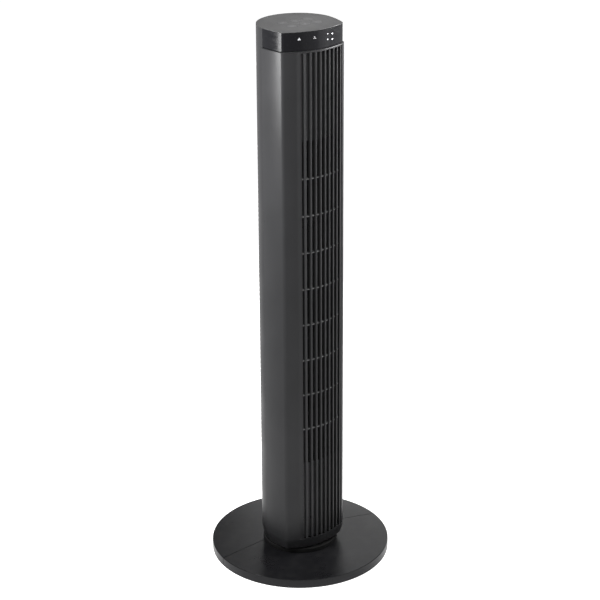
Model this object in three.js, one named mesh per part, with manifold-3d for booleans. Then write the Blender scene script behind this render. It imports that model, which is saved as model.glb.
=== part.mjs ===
// Tower fan: a slim oscillating column on a round two-piece base.
// Millimetres, +Z up. The column's front faces -Y and the base is centred on the origin.
// "Forward" distances are measured towards -Y.
import * as THREE from "three";
import { mergeVertices } from "three/addons/utils/BufferGeometryUtils.js";
import Module from "manifold-3d";

const wasm = await Module();
wasm.setup();

const GAP = 0.3; // clearance kept between neighbouring pieces
const WALL = 2.4; // moulded shell thickness

// ---- driving dimensions -------------------------------------------------------------------
const HEIGHT = 913.5;
const BASE = { radius: 150.5, bottom: 0.3, top: 15.8, skin: 3, wall: 5, turn: THREE.MathUtils.degToRad(-4) };
const SEAM_SLOPE = 0.2; // how far the base seam runs back towards the middle, per millimetre
const COLUMN = {
  halfWidth: 64, // at the widest point, where the two shells meet
  back: 61.5, // depth behind the widest point
  front: 59.7, // depth in front of it
  cornerX: 56.8, // where the side meets the front, before rounding
  cornerForward: 43.3,
  cornerRadius: 8,
  bottom: 27,
  taperTop: 44, // the lowest stretch draws in below this height
  taper: 3.6,
  flare: 0.026, // share by which the sides and back widen from the top down to the floor
  flareFrom: 40, // forward of this the front keeps its width
};
const FRONT_PROUD = 2; // the front shell stands this far outside the rear shell
const FRONT_TOP = 883.5;
const TOP_PLATE = 1.8;
const GRILLE = { left: -31.5, right: 54.5, bottom: 44.5, top: 880.3, pitch: 9, slats: 9, slatWidth: 3.6 };
const RUNGS = { first: 185, spacing: 61.7, count: 10, height: 2 };
const INTAKE = { first: 122, last: 722, pitch: 30, height: 17, columns: 3, halfSpan: 1.08, rib: 0.06 };
const WHEEL = { x: 2, y: 8, radius: 40, inner: 30, bottom: 192, top: 736, rings: 5, blades: 16 };
const BUTTON = { radius: 8.5, pitchX: 23.5, pitchY: 25.5, x: 3, y: -4, columns: 3, rows: 2, proud: 0.2 };
const PIVOT = { radius: 63, tube: 20, bore: 14, top: 44 };
const GEAR = { module: 1.5, ringTeeth: 36, pinionTeeth: 9, bottom: 34, top: 40, backlash: 0.2 };
const SCREW = { head: 4, shank: 1.8, headHeight: 2.4 };

// ---- looks --------------------------------------------------------------------------------
const LOOKS = {
  base: [0x2b2b2d, 0.38, 0.0],
  shell: [0x303033, 0.42, 0.0],
  rear: [0x3a3a3d, 0.5, 0.0],
  grille: [0x2a2a2c, 0.45, 0.0],
  cap: [0x4a4a4d, 0.5, 0.0],
  gloss: [0x0d0d0f, 0.08, 0.0],
  button: [0x525256, 0.5, 0.0],
  inner: [0x1c1c1e, 0.7, 0.0],
  wheel: [0x222226, 0.55, 0.0],
  steel: [0xa5a8ab, 0.35, 1.0],
  can: [0x7f8386, 0.4, 1.0],
  bronze: [0x9a7440, 0.4, 1.0],
  acetal: [0xd9d6cc, 0.5, 0.0],
  rubber: [0x151515, 0.9, 0.0],
  circuit: [0x1f5a38, 0.6, 0.0],
};

// ---- solids -------------------------------------------------------------------------------

/** A manifold-3d solid made from a closed three.js geometry. */
function solid(geometry) {
  const bare = geometry.index ? geometry.clone() : geometry;
  bare.deleteAttribute("normal");
  bare.deleteAttribute("uv");
  const merged = mergeVertices(bare, 1e-4);
  const mesh = new wasm.Mesh({
    numProp: 3,
    vertProperties: new Float32Array(merged.attributes.position.array),
    triVerts: new Uint32Array(merged.index.array),
  });
  return new wasm.Manifold(mesh);
}

/** The three.js geometry of a solid, with flat shading. */
function geometryOf(body) {
  const mesh = body.getMesh();
  const geometry = new THREE.BufferGeometry();
  geometry.setAttribute("position", new THREE.BufferAttribute(new Float32Array(mesh.vertProperties), 3));
  geometry.setIndex(new THREE.BufferAttribute(new Uint32Array(mesh.triVerts), 1));
  geometry.computeVertexNormals();
  return geometry;
}

function joined(bodies) {
  return bodies.reduce((sum, body) => sum.add(body));
}

function block(x0, x1, y0, y1, z0, z1) {
  const geometry = new THREE.BoxGeometry(x1 - x0, y1 - y0, z1 - z0);
  geometry.translate((x0 + x1) / 2, (y0 + y1) / 2, (z0 + z1) / 2);
  return solid(geometry);
}

/** An upright prism between two heights over a plan shape. */
function prism(shape, z0, z1, curveSegments = 12) {
  const geometry = new THREE.ExtrudeGeometry(shape, { depth: z1 - z0, bevelEnabled: false, curveSegments });
  geometry.translate(0, 0, z0);
  return solid(geometry);
}

function cylinder(radius, z0, z1, x = 0, y = 0, segments = 24) {
  const geometry = new THREE.CylinderGeometry(radius, radius, z1 - z0, segments);
  geometry.rotateX(Math.PI / 2);
  geometry.translate(x, y, (z0 + z1) / 2);
  return solid(geometry);
}

/** A cylinder lying along Y. */
function rod(radius, y0, y1, x, z, segments = 12) {
  const geometry = new THREE.CylinderGeometry(radius, radius, y1 - y0, segments);
  geometry.translate(x, (y0 + y1) / 2, z);
  return solid(geometry);
}

function ring(outer, inner, z0, z1, x = 0, y = 0, segments = 32) {
  return cylinder(outer, z0, z1, x, y, segments).subtract(cylinder(inner, z0 - 1, z1 + 1, x, y, segments));
}

/** A turned piece: [radius, height] pairs that start and end on the axis. */
function turned(profile, segments = 32) {
  const geometry = new THREE.LatheGeometry(profile.map(([r, z]) => new THREE.Vector2(r, z)), segments);
  geometry.rotateX(Math.PI / 2);
  return solid(geometry);
}

/** A closed skin through plan outlines of equal length stacked at rising heights. */
function lofted(levels) {
  const count = levels[0].outline.length;
  const positions = levels.flatMap(({ z, outline }) => outline.flatMap((point) => [point.x, point.y, z]));
  const index = [];
  for (let level = 0; level + 1 < levels.length; level += 1) {
    for (let i = 0; i < count; i += 1) {
      const low = level * count + i;
      const lowNext = level * count + ((i + 1) % count);
      index.push(low, lowNext, lowNext + count, low, lowNext + count, low + count);
    }
  }
  const lid = (levels.length - 1) * count;
  for (const [a, b, c] of THREE.ShapeUtils.triangulateShape(levels[0].outline, [])) {
    index.push(c, b, a, lid + a, lid + b, lid + c);
  }
  const geometry = new THREE.BufferGeometry();
  geometry.setAttribute("position", new THREE.Float32BufferAttribute(positions, 3));
  geometry.setIndex(index);
  return solid(geometry);
}

// ---- the column's plan --------------------------------------------------------------------

/** Where two circles cross, on the side with the larger x. */
function crossing(a, radiusA, b, radiusB) {
  const span = a.distanceTo(b);
  const along = (radiusA ** 2 - radiusB ** 2 + span ** 2) / (2 * span);
  const off = Math.sqrt(radiusA ** 2 - along ** 2);
  const u = b.clone().sub(a).divideScalar(span);
  const points = [1, -1].map((side) => new THREE.Vector2(
    a.x + u.x * along - side * u.y * off,
    a.y + u.y * along + side * u.x * off,
  ));
  return points[0].x > points[1].x ? points[0] : points[1];
}

const sideRadius = ((COLUMN.cornerForward ** 2) / (COLUMN.halfWidth - COLUMN.cornerX)
  + (COLUMN.halfWidth - COLUMN.cornerX)) / 2;
const sideCentre = new THREE.Vector2(COLUMN.halfWidth - sideRadius, 0);
const frontRise = COLUMN.front - COLUMN.cornerForward;
const frontRadius = (frontRise ** 2 + COLUMN.cornerX ** 2) / (2 * frontRise);
const frontCentre = new THREE.Vector2(0, COLUMN.front - frontRadius);
const cornerCentre = crossing(
  frontCentre, frontRadius - COLUMN.cornerRadius,
  sideCentre, sideRadius - COLUMN.cornerRadius,
);

function arcPoints(centre, radiusX, radiusY, from, to, steps) {
  return Array.from({ length: steps }, (_, i) => {
    const angle = from + ((to - from) * i) / steps;
    return new THREE.Vector2(centre.x + radiusX * Math.cos(angle), centre.y + radiusY * Math.sin(angle));
  });
}

/** The plan outline moved outwards by grow, anticlockwise from above. */
function columnOutline(grow) {
  const toCorner = cornerCentre.clone().sub(frontCentre).angle();
  const fromCorner = cornerCentre.clone().sub(sideCentre).angle();
  const half = [
    ...arcPoints(frontCentre, frontRadius + grow, frontRadius + grow, Math.PI / 2, toCorner, 6),
    ...arcPoints(cornerCentre, COLUMN.cornerRadius + grow, COLUMN.cornerRadius + grow, toCorner, fromCorner, 3),
    ...arcPoints(sideCentre, sideRadius + grow, sideRadius + grow, fromCorner, 0, 4),
    ...arcPoints(new THREE.Vector2(), COLUMN.halfWidth + grow, COLUMN.back + grow, 0, -Math.PI / 2, 6),
  ];
  const right = half.map((point) => new THREE.Vector2(point.x, -point.y));
  const left = half.slice(1).map((point) => new THREE.Vector2(-point.x, -point.y)).reverse();
  return [...right, new THREE.Vector2(0, COLUMN.back + grow), ...left];
}

/** Forward distance of the front arc, moved outwards by grow, at a place across the front. */
function frontForward(x, grow) {
  return frontCentre.y + Math.sqrt((frontRadius + grow) ** 2 - x ** 2);
}

/** Share by which the back is larger than the plan at a height. */
function flareAt(z) {
  return COLUMN.flare * (1 - z / HEIGHT);
}

/** The plan outline at a height, moved outwards by grow, with the flare that fades out along the sides. */
function outlineAt(z, grow) {
  const plan = columnOutline(0);
  return columnOutline(grow).map(({ x, y }, i) => {
    const share = THREE.MathUtils.clamp(1 + plan[i].y / COLUMN.flareFrom, 0, 1);
    return new THREE.Vector2(x * (1 + flareAt(z) * share), y > 0 ? y * (1 + flareAt(z)) : y);
  });
}

function columnStack(levels) {
  return lofted(levels.map(([z, grow]) => ({ z, outline: outlineAt(z, grow) })));
}

const farOut = 200;
const frontSpace = block(-farOut, farOut, -farOut, -GAP / 2, 0, HEIGHT + 1);
const rearSpace = block(-farOut, farOut, GAP / 2, farOut, 0, HEIGHT + 1);

/** Skin of the column up to a height, with the drawn-in foot, outside the plan and with a top bevel. */
function columnSkin(proud, top, rim) {
  const outer = columnStack([
    [COLUMN.bottom, proud - COLUMN.taper],
    [COLUMN.taperTop, proud],
    [top - rim, proud],
    [top, proud - rim],
  ]);
  const inner = columnStack([
    [COLUMN.bottom - 1, proud - COLUMN.taper - WALL],
    [COLUMN.taperTop, proud - WALL],
    [top + 1, proud - WALL],
  ]);
  return outer.subtract(inner);
}

// ---- shells and grille --------------------------------------------------------------------

const SHELL_SCREW = { x: 52, heights: [76, 850], seat: 24, boss: 20, postStart: -24, postEnd: 19.4 };
const screwSpots = SHELL_SCREW.heights
  .flatMap((z) => [-1, 1].map((side) => ({ x: side * SHELL_SCREW.x, z })));
const CORD = { z: 62, hole: 5 };

/** Slots across the back of the rear shell, in columns split by upright ribs. */
function intakeSlots() {
  const reach = 90;
  const width = (2 * INTAKE.halfSpan - (INTAKE.columns - 1) * INTAKE.rib) / INTAKE.columns;
  const wedges = Array.from({ length: INTAKE.columns }, (_, i) => {
    const from = Math.PI / 2 - INTAKE.halfSpan + i * (width + INTAKE.rib);
    const corners = [from, from + width]
      .map((a) => new THREE.Vector2(reach * Math.cos(a), reach * Math.sin(a)));
    return prism(new THREE.Shape([new THREE.Vector2(), ...corners]), INTAKE.first, INTAKE.last);
  });
  const levels = Math.round((INTAKE.last - INTAKE.first) / INTAKE.pitch);
  const layers = Array.from({ length: levels }, (_, i) => {
    const z = INTAKE.first + i * INTAKE.pitch;
    return block(-reach, reach, 0, reach, z, z + INTAKE.height);
  });
  return joined(wedges).intersect(joined(layers));
}

function rearShell() {
  const top = HEIGHT - TOP_PLATE - GAP;
  const outer = columnStack([[COLUMN.bottom, -COLUMN.taper], [COLUMN.taperTop, 0], [top, 0]]);
  const bosses = screwSpots.map(({ x, z }) => rod(7, SHELL_SCREW.boss, COLUMN.back, x, z));
  const shell = columnSkin(0, top, 0.2)
    .add(joined(bosses).intersect(outer))
    .intersect(rearSpace)
    .subtract(intakeSlots())
    .subtract(rod(CORD.hole, 40, 80, 0, CORD.z));
  const bores = screwSpots.map(({ x, z }) => rod(SCREW.head + 0.6, SHELL_SCREW.seat, 80, x, z)
    .add(rod(SCREW.shank + 0.4, SHELL_SCREW.boss - 1, SHELL_SCREW.seat + 1, x, z)));
  return shell.subtract(joined(bores));
}

function frontShell() {
  const posts = screwSpots.map(({ x, z }) => {
    const [inner, outer] = x < 0 ? [-COLUMN.halfWidth - FRONT_PROUD, x] : [x, COLUMN.halfWidth + FRONT_PROUD];
    const web = block(inner, outer, SHELL_SCREW.postStart, -2, z - 1.5, z + 1.5);
    return rod(5, SHELL_SCREW.postStart, SHELL_SCREW.postEnd, x, z).add(web);
  });
  const inside = columnStack([
    [COLUMN.bottom, FRONT_PROUD - COLUMN.taper - 1],
    [COLUMN.taperTop, FRONT_PROUD - 1],
    [FRONT_TOP, FRONT_PROUD - 1],
  ]);
  const window = block(GRILLE.left, GRILLE.right, -90, -30, GRILLE.bottom, GRILLE.top);
  const screwHoles = screwSpots.map(({ x, z }) => rod(SCREW.shank + 0.3, 8, SHELL_SCREW.postEnd + 1, x, z));
  return columnSkin(FRONT_PROUD, FRONT_TOP, 1.2)
    .intersect(frontSpace)
    .subtract(window)
    .add(joined(posts).intersect(inside))
    .subtract(joined(screwHoles));
}

/** Upright slats over closed end panels, tied together by slim rungs. */
function frontGrille() {
  const left = GRILLE.left + GAP;
  const right = GRILLE.right - GAP;
  const bottom = GRILLE.bottom + GAP;
  const top = GRILLE.top - GAP;
  const panel = { back: -7, face: -5 };
  const band = (z0, z1, back, face) => columnStack([[z0, face], [z1, face]])
    .subtract(columnStack([[z0 - 1, back], [z1 + 1, back]]))
    .intersect(block(left, right, -90, -30, z0, z1));
  const rungs = Array.from({ length: RUNGS.count - 2 }, (_, i) => {
    const z = RUNGS.first + (i + 1) * RUNGS.spacing;
    return band(z - RUNGS.height / 2, z + RUNGS.height / 2, -6, -2.5);
  });
  const lastRung = RUNGS.first + (RUNGS.count - 1) * RUNGS.spacing;
  const slats = Array.from({ length: GRILLE.slats }, (_, i) => {
    const centre = GRILLE.left + 6.4 + i * GRILLE.pitch;
    return slat(centre - GRILLE.slatWidth / 2, centre + GRILLE.slatWidth / 2, bottom, top);
  });
  const edges = [slat(left, left + 1.6, bottom, top), slat(right - 3.6, right, bottom, top)];
  return joined([
    band(bottom, RUNGS.first, panel.back, panel.face),
    band(lastRung, top, panel.back, panel.face),
    ...rungs,
    ...slats,
    ...edges,
  ]);
}

/** One upright slat whose outer face lies on the front shell's surface. */
function slat(x0, x1, z0, z1) {
  const depth = 8.5;
  const outer = [x0, x1].map((x) => new THREE.Vector2(x, -frontForward(x, FRONT_PROUD)));
  const inner = [x1, x0].map((x) => new THREE.Vector2(x, -frontForward(x, FRONT_PROUD) + depth));
  return prism(new THREE.Shape([...outer, ...inner]), z0, z1);
}

// ---- cap ----------------------------------------------------------------------------------

const buttonSpots = Array.from({ length: BUTTON.rows * BUTTON.columns }, (_, i) => ({
  x: BUTTON.x + ((i % BUTTON.columns) - (BUTTON.columns - 1) / 2) * BUTTON.pitchX,
  y: BUTTON.y + (Math.floor(i / BUTTON.columns) - (BUTTON.rows - 1) / 2) * BUTTON.pitchY,
}));

function topPlate() {
  const bottom = HEIGHT - TOP_PLATE;
  const plate = columnStack([[bottom, 0], [HEIGHT - 0.5, 0], [HEIGHT, -0.5]]);
  const holes = buttonSpots
    .map(({ x, y }) => cylinder(BUTTON.radius + GAP, bottom - 1, HEIGHT + 1, x, y, 20));
  return plate.subtract(joined(holes));
}

/** A push button, with a wider flange below the plate that keeps it captive. */
function button({ x, y }) {
  const flangeTop = HEIGHT - TOP_PLATE - GAP;
  return cylinder(BUTTON.radius, flangeTop - 1, HEIGHT + BUTTON.proud, x, y, 20)
    .add(cylinder(BUTTON.radius + 1.2, flangeTop - 1.5, flangeTop, x, y, 20));
}

function controlBand() {
  const top = HEIGHT - TOP_PLATE - GAP;
  const bottom = FRONT_TOP + GAP;
  return columnStack([[bottom, 0], [top, 0]])
    .subtract(columnStack([[bottom - 1, -WALL], [top + 1, -WALL]]))
    .intersect(frontSpace);
}

const BOARD = 1.6; // circuit board thickness
const OVERLAP = 0.1; // how far parts on a board sink into it, so that they form one body

/** Light board behind the band: flat, with one small lamp block for each sign on the band. */
function displayBoard() {
  const front = -36;
  const bottom = FRONT_TOP + 4;
  const height = 21;
  const lamp = { places: [-33, -8, 16, 27], halfWidth: 2, depth: 3, margin: 3 };
  const board = block(-44, 44, front, front + BOARD, bottom, bottom + height);
  const lamps = lamp.places.map((x) => block(
    x - lamp.halfWidth, x + lamp.halfWidth, front - lamp.depth, front + OVERLAP,
    bottom + lamp.margin, bottom + height - lamp.margin,
  ));
  return joined([board, ...lamps]);
}

/** Switch board under the buttons, one switch for each. */
function buttonBoard() {
  const top = HEIGHT - 8.3;
  const key = { half: 3, height: 3.2 };
  const switches = buttonSpots.map(({ x, y }) => block(
    x - key.half, x + key.half, y - key.half, y + key.half, top - OVERLAP, top + key.height,
  ));
  return joined([block(-36, 42, -28, 22, top - BOARD, top), ...switches]);
}

/** Power board standing behind the boards of the cap, with a capacitor and a relay on its front. */
function mainBoard() {
  const front = 30;
  const board = block(-36, 36, front, front + BOARD, 760, 870);
  const capacitor = { radius: 8, x: -14, y: 22, bottom: 772, top: 800 };
  const can = cylinder(capacitor.radius, capacitor.bottom, capacitor.top, capacitor.x, capacitor.y);
  const strap = block(
    capacitor.x - 1, capacitor.x + 1, capacitor.y + 2, front + OVERLAP, capacitor.bottom, capacitor.top,
  );
  const relay = block(8, 28, 20, front + OVERLAP, 820, 842);
  return joined([board, can, strap, relay]);
}

// ---- air path -----------------------------------------------------------------------------

/** Plan shape of a thin wall of even thickness along a run of points. */
function ribbon(points, thickness) {
  const sides = points.map((point, i) => {
    const before = points[Math.max(i - 1, 0)];
    const after = points[Math.min(i + 1, points.length - 1)];
    const along = after.clone().sub(before).normalize();
    const off = new THREE.Vector2(-along.y, along.x).multiplyScalar(thickness / 2);
    return [point.clone().add(off), point.clone().sub(off)];
  });
  return new THREE.Shape([...sides.map((pair) => pair[0]), ...sides.map((pair) => pair[1]).reverse()]);
}

const DUCT = { bottom: RUNGS.first - 1, top: 743, plate: 4 };

/** Scroll wall that widens from the back of the wheel round its left side to the outlet. */
function volute() {
  const steps = 12;
  const from = THREE.MathUtils.degToRad(142);
  const to = THREE.MathUtils.degToRad(232);
  const points = Array.from({ length: steps + 1 }, (_, i) => {
    const angle = from + ((to - from) * i) / steps;
    const radius = WHEEL.radius + 4 + (6 * i) / steps;
    return new THREE.Vector2(WHEEL.x + radius * Math.cos(angle), WHEEL.y + radius * Math.sin(angle));
  });
  points.push(new THREE.Vector2(GRILLE.left + 1, -46));
  return prism(ribbon(points, 2), DUCT.bottom + GAP, DUCT.top - GAP);
}

/** Stabiliser wall on the right, from the outlet's edge to a rounded nose near the wheel. */
function tongue() {
  const nose = new THREE.Vector2(46, 0);
  const run = [new THREE.Vector2(51, -34), new THREE.Vector2(49.5, -22), new THREE.Vector2(47, -8), nose];
  const wall = prism(ribbon(run, 2), DUCT.bottom + GAP, DUCT.top - GAP);
  return wall.add(cylinder(2.4, DUCT.bottom + GAP, DUCT.top - GAP, nose.x, nose.y, 10));
}

/** End plate of the air path, cut back behind the grille. */
function ductPlate(z0, hole) {
  const inset = -WALL - 1.2;
  const z1 = z0 + DUCT.plate;
  const behindGrille = columnStack([[z0 - 1, -7.6], [z1 + 1, -7.6]]);
  const notch = block(GRILLE.left - 1, GRILLE.right + 1, -90, -28, z0 - 1, z1 + 1).subtract(behindGrille);
  return columnStack([[z0, inset], [z1, inset]])
    .subtract(notch)
    .subtract(cylinder(hole, z0 - 1, z1 + 1, WHEEL.x, WHEEL.y));
}

const BUSH = { outer: 9, bore: 4.4, height: 7 };

function ductBottomPlate() {
  return ductPlate(DUCT.bottom - DUCT.plate, 16);
}

/** Upper end plate, with the seat that holds the bush of the wheel. */
function ductTopPlate() {
  const seatTop = DUCT.top + DUCT.plate + 4;
  const seat = ring(BUSH.outer + 4, BUSH.outer + GAP, DUCT.top, seatTop, WHEEL.x, WHEEL.y, 24);
  return ductPlate(DUCT.top, BUSH.outer + 2).add(seat);
}

function topBush() {
  return ring(BUSH.outer, BUSH.bore, DUCT.top, DUCT.top + BUSH.height, WHEEL.x, WHEEL.y, 24);
}

/** Cross-flow wheel: slanted blades held by rings, with a hub on each end disc. */
function impeller() {
  const { x, y } = WHEEL;
  const ringHeight = 2;
  const step = (WHEEL.top - WHEEL.bottom - ringHeight) / (WHEEL.rings - 1);
  const hoops = Array.from({ length: WHEEL.rings - 2 }, (_, i) => {
    const z = WHEEL.bottom + (i + 1) * step;
    return ring(WHEEL.radius, WHEEL.inner, z, z + ringHeight, x, y, 30);
  });
  const ends = [WHEEL.bottom, WHEEL.top - ringHeight].map((z) => (
    cylinder(WHEEL.radius, z, z + ringHeight, x, y, 30)
  ));
  const blades = Array.from({ length: WHEEL.blades }, (_, i) => {
    const geometry = new THREE.BoxGeometry(9.2, 1.3, WHEEL.top - WHEEL.bottom - ringHeight);
    geometry.rotateZ(0.4);
    geometry.translate((WHEEL.radius + WHEEL.inner) / 2, 0, (WHEEL.top + WHEEL.bottom) / 2);
    geometry.rotateZ((i / WHEEL.blades) * Math.PI * 2);
    geometry.translate(x, y, 0);
    return solid(geometry);
  });
  const hubs = [
    cylinder(12, WHEEL.bottom - 5, WHEEL.bottom + 1, x, y),
    cylinder(10, WHEEL.top - 6, WHEEL.top, x, y),
  ];
  const bores = [
    cylinder(AXLE + GAP, WHEEL.bottom - 6, WHEEL.bottom + 0.5, x, y),
    cylinder(AXLE + GAP, WHEEL.top - 5, WHEEL.top + 1, x, y),
  ];
  return joined([...hoops, ...ends, ...blades, ...hubs]).subtract(joined(bores));
}

// ---- drive --------------------------------------------------------------------------------

const AXLE = 4;
const MOTOR = { bottom: 100, top: 156, radius: 42, screwRing: 35 };

const motorScrewSpots = Array.from({ length: 3 }, (_, i) => {
  const angle = (i / 3) * Math.PI * 2 + Math.PI / 2;
  return { x: WHEEL.x + MOTOR.screwRing * Math.cos(angle), y: WHEEL.y + MOTOR.screwRing * Math.sin(angle) };
});

function motorBody() {
  const { bottom, top, radius } = MOTOR;
  const can = turned([
    [0, bottom - 4], [14, bottom - 4], [14, bottom], [radius - 8, bottom], [radius - 3, bottom + 6],
    [radius - 3, bottom + 16], [radius, bottom + 16], [radius, top - 16], [radius - 3, top - 16],
    [radius - 3, top], [14, top], [14, top + 4], [0, top + 4],
  ], 24).translate([WHEEL.x, WHEEL.y, 0]);
  const holes = motorScrewSpots.map(({ x, y }) => cylinder(SCREW.shank + GAP, top - 7, top + 1, x, y, 12));
  return can
    .subtract(cylinder(AXLE + 0.4, bottom - 9, top + 9, WHEEL.x, WHEEL.y))
    .subtract(joined(holes));
}

/** Three-legged bracket that hangs the motor under the lower end plate. */
function motorBracket() {
  const z0 = MOTOR.top + GAP;
  const plate = ring(MOTOR.radius, 18, z0, z0 + 2.5, WHEEL.x, WHEEL.y);
  const legTop = DUCT.bottom - DUCT.plate - GAP;
  const legs = motorScrewSpots
    .map(({ x, y }) => cylinder(5, z0, legTop, 2 * WHEEL.x - x, 2 * WHEEL.y - y, 12));
  const holes = motorScrewSpots.map(({ x, y }) => cylinder(SCREW.shank + GAP, z0 - 1, z0 + 4, x, y, 12));
  return joined([plate, ...legs]).subtract(joined(holes));
}

function motorScrew({ x, y }) {
  const seat = MOTOR.top + GAP + 2.5 + GAP;
  return cylinder(SCREW.head, seat, seat + SCREW.headHeight, x, y, 12)
    .add(cylinder(SCREW.shank, MOTOR.top - 6, seat + 1, x, y, 12));
}

function motorShaft() {
  return cylinder(AXLE, MOTOR.bottom - 8, WHEEL.bottom, WHEEL.x, WHEEL.y, 20);
}

function topAxle() {
  return cylinder(AXLE, WHEEL.top - 4, DUCT.top + BUSH.height + 3, WHEEL.x, WHEEL.y, 20);
}

function rearScrew({ x, z }) {
  const seat = SHELL_SCREW.seat + GAP;
  return rod(SCREW.head, seat, seat + SCREW.headHeight, x, z).add(rod(SCREW.shank, 10, seat + 1, x, z));
}

/** Bush where a supply cord enters, with a lip on each side of the rear shell. */
function cordGland() {
  const lip = CORD.hole + 2.5;
  const outside = COLUMN.back * (1 + flareAt(CORD.z));
  const inside = outside - WALL;
  return rod(CORD.hole - GAP, inside - 3, outside + 3, 0, CORD.z)
    .add(rod(lip, outside + 0.7, outside + 2.7, 0, CORD.z))
    .add(rod(lip, inside - 4, inside - 1.4, 0, CORD.z))
    .subtract(rod(3, 40, 80, 0, CORD.z));
}

// ---- swivel -------------------------------------------------------------------------------

const pinionPlace = (() => {
  const centres = (GEAR.module * (GEAR.ringTeeth + GEAR.pinionTeeth)) / 2 + GEAR.backlash;
  const direction = THREE.MathUtils.degToRad(225);
  return { x: centres * Math.cos(direction), y: centres * Math.sin(direction), direction };
})();

/** Plan shape of a spur gear with straight-sided teeth and its first tooth on the given direction. */
function gearShape(teeth, direction) {
  const pitchRadius = (GEAR.module * teeth) / 2;
  const tip = pitchRadius + 0.85 * GEAR.module;
  const root = pitchRadius - 1.05 * GEAR.module;
  const pitch = (2 * Math.PI) / teeth;
  const flanks = [[root, -0.28], [tip, -0.12], [tip, 0.12], [root, 0.28]];
  const points = Array.from({ length: teeth }, (_, tooth) => flanks.map(([radius, part]) => {
    const angle = direction + (tooth + part) * pitch;
    return new THREE.Vector2(radius * Math.cos(angle), radius * Math.sin(angle));
  })).flat();
  return new THREE.Shape(points);
}

function fixedGear() {
  return prism(gearShape(GEAR.ringTeeth, pinionPlace.direction), GEAR.bottom, GEAR.top)
    .subtract(cylinder(PIVOT.tube + GAP, GEAR.bottom - 1, GEAR.top + 1));
}

/** Pinion and its shaft. A gap between teeth faces the fixed gear. */
function pinion() {
  const towardsGear = pinionPlace.direction + Math.PI;
  const halfPitch = Math.PI / GEAR.pinionTeeth;
  return prism(gearShape(GEAR.pinionTeeth, towardsGear + halfPitch), GEAR.bottom, GEAR.top)
    .add(cylinder(2.5, GEAR.bottom, OSC_MOTOR.bottom + 3, 0, 0, 12))
    .translate([pinionPlace.x, pinionPlace.y, 0]);
}

const OSC_MOTOR = { bottom: 44, height: 19, radius: 14, ear: 17.5 };

const oscEars = [-1, 1].map((side) => ({
  x: pinionPlace.x - side * OSC_MOTOR.ear * Math.sin(pinionPlace.direction),
  y: pinionPlace.y + side * OSC_MOTOR.ear * Math.cos(pinionPlace.direction),
}));

function oscMotor() {
  const { bottom, height, radius } = OSC_MOTOR;
  const ears = oscEars.map(({ x, y }) => cylinder(3.5, bottom, bottom + 1.5, x, y, 12));
  const bar = new THREE.BoxGeometry(2 * OSC_MOTOR.ear, 7, 1.5);
  bar.rotateZ(pinionPlace.direction + Math.PI / 2);
  bar.translate(pinionPlace.x, pinionPlace.y, bottom + 0.75);
  return joined([cylinder(radius, bottom, bottom + height, pinionPlace.x, pinionPlace.y), ...ears, solid(bar)])
    .subtract(cylinder(2.5 + GAP, bottom - 1, bottom + 4, pinionPlace.x, pinionPlace.y, 12));
}

/** Floor of the column, which turns on the bearing ring and carries the swivel motor on two posts. */
function towerFloor() {
  const inset = -COLUMN.taper - WALL - 0.6;
  const posts = oscEars.map(({ x, y }) => cylinder(3, COLUMN.bottom + 1, OSC_MOTOR.bottom - GAP, x, y, 12));
  return columnStack([[COLUMN.bottom, inset], [COLUMN.bottom + 4, inset]])
    .subtract(cylinder(PIVOT.tube + 0.5, 0, 60, 0, 0, 32))
    .add(joined(posts));
}

function bearingRing() {
  return ring(50, 38, 24 + GAP, COLUMN.bottom - GAP, 0, 0, 40);
}

function retainingClip() {
  return ring(PIVOT.tube + 7, PIVOT.tube + GAP, COLUMN.bottom + 4 + GAP, GEAR.bottom - GAP);
}

const BASE_SCREWS = Array.from({ length: 4 }, (_, i) => {
  const angle = ((i + 0.5) / 4) * Math.PI * 2;
  return { x: 45 * Math.cos(angle), y: 45 * Math.sin(angle) };
});

/** Fixed foot of the swivel: a round flange on the base and a tube that the column turns on. */
function pivotPlate() {
  const bottom = BASE.top + GAP;
  const body = turned([
    [0, 3], [PIVOT.tube, 3], [PIVOT.tube, bottom], [PIVOT.radius, bottom], [PIVOT.radius, 22.8],
    [PIVOT.radius - 1.2, 24], [PIVOT.tube, 24], [PIVOT.tube, PIVOT.top], [0, PIVOT.top],
  ], 36).subtract(cylinder(PIVOT.bore, 0, 60));
  const holes = BASE_SCREWS.map(({ x, y }) => cylinder(SCREW.shank + GAP, 10, 22, x, y, 12));
  return body.subtract(joined(holes));
}

function retainingNut() {
  return cylinder(33, 4, 9, 0, 0, 6).subtract(cylinder(PIVOT.tube + GAP, 0, 20));
}

// ---- base ---------------------------------------------------------------------------------

const FEET = Array.from({ length: 6 }, (_, i) => {
  const angle = ((i + 0.5) / 6) * Math.PI * 2;
  return { x: 132 * Math.cos(angle), y: 132 * Math.sin(angle) };
});
const FOOT_RADIUS = 9;
const FOOT_SEAT = 3.5;

/** Plan of everything behind the seam, whose two arms slope back to the middle. */
function behindSeam(shift) {
  const middle = BASE.radius * SEAM_SLOPE + shift;
  return new THREE.Shape([
    new THREE.Vector2(-farOut, shift - (farOut - BASE.radius) * SEAM_SLOPE),
    new THREE.Vector2(0, middle),
    new THREE.Vector2(farOut, shift - (farOut - BASE.radius) * SEAM_SLOPE),
    new THREE.Vector2(farOut, farOut),
    new THREE.Vector2(-farOut, farOut),
  ]);
}

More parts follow.
